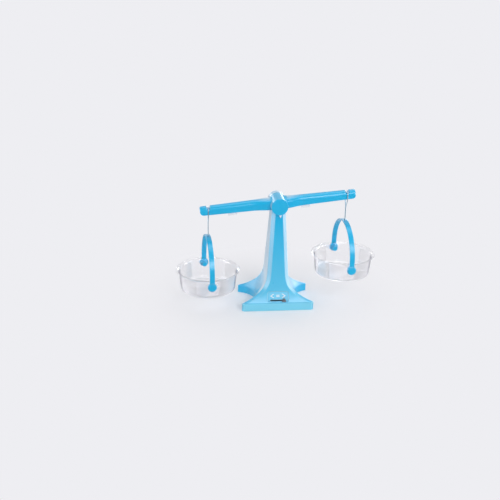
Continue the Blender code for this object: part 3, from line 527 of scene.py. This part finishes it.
def strokeMesh(name, strokes):
    # flat round-ended strokes, given as lists of points in the plane of the window
    half, ink, steps = signs["stroke"] / 2, signs["ink"], signs["capSteps"]
    shape = bmesh.new()
    for path in strokes:
        points = [Vector(p) for p in path]
        left, right = [], []
        for i, point in enumerate(points):
            near = points[max(i - 1, 0):i + 2]
            runs = [(b - a).normalized() for a, b in zip(near, near[1:])]
            along = sum(runs, Vector((0, 0))).normalized()
            across = Vector((-along.y, along.x))
            reach = half / max(along.dot(runs[0]), signs["leastMitre"])
            left.append(point + across * reach)
            right.append(point - across * reach)
        outline = list(left)
        for centre, start, rest in ((points[-1], left[-1], right[::-1]), (points[0], right[0], [])):
            for k in range(1, steps):
                outline.append(centre + Matrix.Rotation(-math.pi * k / steps, 2) @ (start - centre))
            outline += rest
        low = [shape.verts.new((p.x * mm, p.y * mm, 0)) for p in outline]
        high = [shape.verts.new((p.x * mm, p.y * mm, ink * mm)) for p in outline]
        shape.faces.new(low[::-1])
        shape.faces.new(high)
        for i in range(len(outline)):
            j = (i + 1) % len(outline)
            shape.faces.new((low[i], low[j], high[j], high[i]))
    bmesh.ops.recalc_face_normals(shape, faces=shape.faces)
    return meshOf(name, shape)


w, h, g = signs["width"] / 2, signs["height"] / 2, signs["gap"] / 2
signPaths = {
    "less_sign": (-1, [[(w, h), (-w, 0), (w, -h)]]),
    "equal_sign": (0, [[(-w, g), (w, g)], [(-w, -g), (w, -g)]]),
    "greater_sign": (1, [[(-w, h), (w, 0), (-w, -h)]]),
}
standMesh = frame["nodes"]["stand"].data
standFaces = BVHTree.FromPolygons([v.co for v in standMesh.vertices],
                                  [p.vertices for p in standMesh.polygons])
across = Vector((1, 0, 0))
for name, (place, strokes) in signPaths.items():
    start = Vector((place * signs["spacing"], -signs["ahead"], signs["z"])) * mm
    point, normal = standFaces.ray_cast(start, Vector((0, 1, 0)))[:2]
    turned = Matrix((across, normal.cross(across), normal)).transposed().to_4x4()
    flat = Matrix.Translation(point) @ turned
    newPiece(name, strokeMesh(name, strokes), whiteInk, "stand", place=flat)
print("signs printed")


# Matt background paper on the floor, swept up into a pale room. Reflections see it bright behind and beside the
# balance and dark in front, as in a studio, so that the upright faces keep their colour. Sizes are metres.
studio = {
    "floor": "#f2f2f4", "floorSeen": "#eeeef2", "near": 0.03, "far": 0.36, "size": 40,
    "room": "#f6f6fa", "roomLight": 0.40, "roomSeen": 0.928, "darkFront": 0.22, "turn": (-0.75, 0.1),
}


def rayKinds(tree):
    # what the camera sees straight or through the clear pans, and what it sees by reflection
    path = addNode(tree, "LightPath").outputs
    seen = addNode(tree, "Math", {0: path["Is Camera Ray"], 1: path["Is Transmission Ray"]},
                   operation="MAXIMUM")
    mirrored = addNode(tree, "Math", {0: path["Is Glossy Ray"], 1: path["Is Transmission Ray"]},
                       operation="SUBTRACT", use_clamp=True)
    return seen.outputs["Value"], mirrored.outputs["Value"]


def sweepLevel(tree, place):
    # dark where the direction from the balance points to the front, bright elsewhere
    level = addNode(tree, "VectorMath", {0: place, 1: (1, 1, 0)}, operation="MULTIPLY")
    level = addNode(tree, "VectorMath", {0: level.outputs["Vector"]}, operation="NORMALIZE")
    ahead = addNode(tree, "SeparateXYZ", {"Vector": level.outputs["Vector"]})
    front, side = studio["turn"]
    return addNode(tree, "MapRange", {"Value": ahead.outputs["Y"], "From Min": front, "From Max": side,
                                      "To Min": studio["darkFront"]},
                   interpolation_type="SMOOTHSTEP").outputs["Result"]


def paperFloor():
    material, tree = newMaterial("background_paper_matt")
    place = addNode(tree, "TexCoord").outputs["Object"]
    seen, mirrored = rayKinds(tree)
    # lit as it is near the balance, so that its shadow stays, and even and pale further out
    away = addNode(tree, "VectorMath", {0: place}, operation="LENGTH")
    fade = addNode(tree, "MapRange", {"Value": away.outputs["Value"], "From Min": studio["near"],
                                      "From Max": studio["far"]}, interpolation_type="SMOOTHSTEP")
    share = addNode(tree, "Math", {0: seen, 1: fade.outputs["Result"]}, operation="MULTIPLY")
    lit = addNode(tree, "BsdfDiffuse", {"Color": linear(studio["floor"])})
    pale = linear(studio["floorSeen"])
    even = addNode(tree, "Emission", {"Color": pale, "Strength": 1})
    direct = addNode(tree, "MixShader", {"Fac": share.outputs["Value"], 1: lit.outputs["BSDF"],
                                         2: even.outputs["Emission"]})
    sweep = addNode(tree, "Emission", {"Color": pale, "Strength": sweepLevel(tree, place)})
    both = addNode(tree, "MixShader", {"Fac": mirrored, 1: direct.outputs["Shader"],
                                       2: sweep.outputs["Emission"]})
    addNode(tree, "OutputMaterial", {"Surface": both.outputs["Shader"]})
    return material


floorMesh = bpy.data.meshes.new("floor")
half = studio["size"] / 2
floorCorners = [(-half, -half, 0), (half, -half, 0), (half, half, 0), (-half, half, 0)]
floorMesh.from_pydata(floorCorners, [], [(0, 1, 2, 3)])
floorMesh.materials.append(paperFloor())
floor = bpy.data.objects.new("floor", floorMesh)
bpy.context.scene.collection.objects.link(floor)

world = bpy.data.worlds.new("pale_room")
bpy.context.scene.world = world
world.use_nodes = True
tree = world.node_tree
tree.nodes.clear()
seen, mirrored = rayKinds(tree)
roomColour = linear(studio["room"])
level = addNode(tree, "MapRange", {"Value": seen, "To Min": studio["roomLight"], "To Max": studio["roomSeen"]})
plain = addNode(tree, "Background", {"Color": roomColour, "Strength": level.outputs["Result"]})
sweep = sweepLevel(tree, addNode(tree, "TexCoord").outputs["Generated"])
shown = addNode(tree, "Background", {"Color": roomColour, "Strength": sweep})
room = addNode(tree, "MixShader", {"Fac": mirrored, 1: plain.outputs["Background"],
                                   2: shown.outputs["Background"]})
addNode(tree, "OutputWorld", {"Surface": room.outputs["Shader"]})

# softboxes: place, aim, width and height in metres, and radiance, where 1 is a white card's
softboxes = {
    "key_front": {"at": (0.50, -1.75, 1.15), "aim": (0, 0, 0.12), "size": (0.95, 0.8), "radiance": 8.0},
    "overhead": {"at": (0.1, 0.2, 2.1), "aim": (0, 0, 0.1), "size": (1.4, 1.4), "radiance": 1.6},
    "side_left": {"at": (-1.6, -0.30, 0.50), "aim": (0, 0, 0.16), "size": (0.7, 0.62), "radiance": 2.6},
    "side_right": {"at": (1.6, 0.10, 0.50), "aim": (0, 0, 0.16), "size": (0.7, 0.62), "radiance": 3.2},
    "back_left": {"at": (-0.75, 1.9, 0.55), "aim": (0, 0, 0.2), "size": (0.5, 0.6), "radiance": 4.0},
    "back_right": {"at": (0.85, 1.9, 0.50), "aim": (0, 0, 0.2), "size": (0.5, 0.6), "radiance": 4.0},
}
# white cards beside the balance, only for the pale streaks on faces turned to the side
cards = {
    "card_left": {"at": (-0.95, -0.12, 0.12), "aim": (0, 0, 0.12), "size": (0.7, 0.5), "radiance": 4.5},
    "card_right": {"at": (0.95, 0.06, 0.12), "aim": (0, 0, 0.12), "size": (0.7, 0.5), "radiance": 4.5},
}
for name, box in (softboxes | cards).items():
    lamp = bpy.data.lights.new(name, "AREA")
    lamp.shape = "RECTANGLE"
    lamp.size, lamp.size_y = box["size"]
    lamp.energy = box["radiance"] * math.pi * lamp.size * lamp.size_y
    item = bpy.data.objects.new(name, lamp)
    bpy.context.scene.collection.objects.link(item)
    item.location = box["at"]
    item.rotation_euler = (Vector(box["aim"]) - item.location).to_track_quat("-Z", "Y").to_euler()
    item.visible_camera = False
    item.visible_diffuse = name not in cards

# The photograph is taken from the front, a little to the left and above. Angles are degrees, and the aim and
# distance metres.
camera = {"azimuth": -6.5, "elevation": 21.5, "roll": 1.25, "aim": (-0.0622, 0, 0.1309), "distance": 1.9,
          "lens": 58.54}
azimuth, elevation, roll = (math.radians(camera[angle]) for angle in ("azimuth", "elevation", "roll"))
back = Vector((math.sin(azimuth) * math.cos(elevation), -math.cos(azimuth) * math.cos(elevation),
               math.sin(elevation)))
right = Vector((0, 0, 1)).cross(back).normalized()
up = back.cross(right)
tilted = (right * math.cos(roll) + up * math.sin(roll), up * math.cos(roll) - right * math.sin(roll), back)
lensData = bpy.data.cameras.new("camera")
lensData.lens = camera["lens"]
view = bpy.data.objects.new("camera", lensData)
bpy.context.scene.collection.objects.link(view)
stance = Matrix.Translation(Vector(camera["aim"]) + back * camera["distance"])
view.matrix_world = stance @ Matrix(tilted).transposed().to_4x4()
bpy.context.scene.camera = view
bpy.context.scene.view_settings.view_transform = "Standard"
print("studio set")
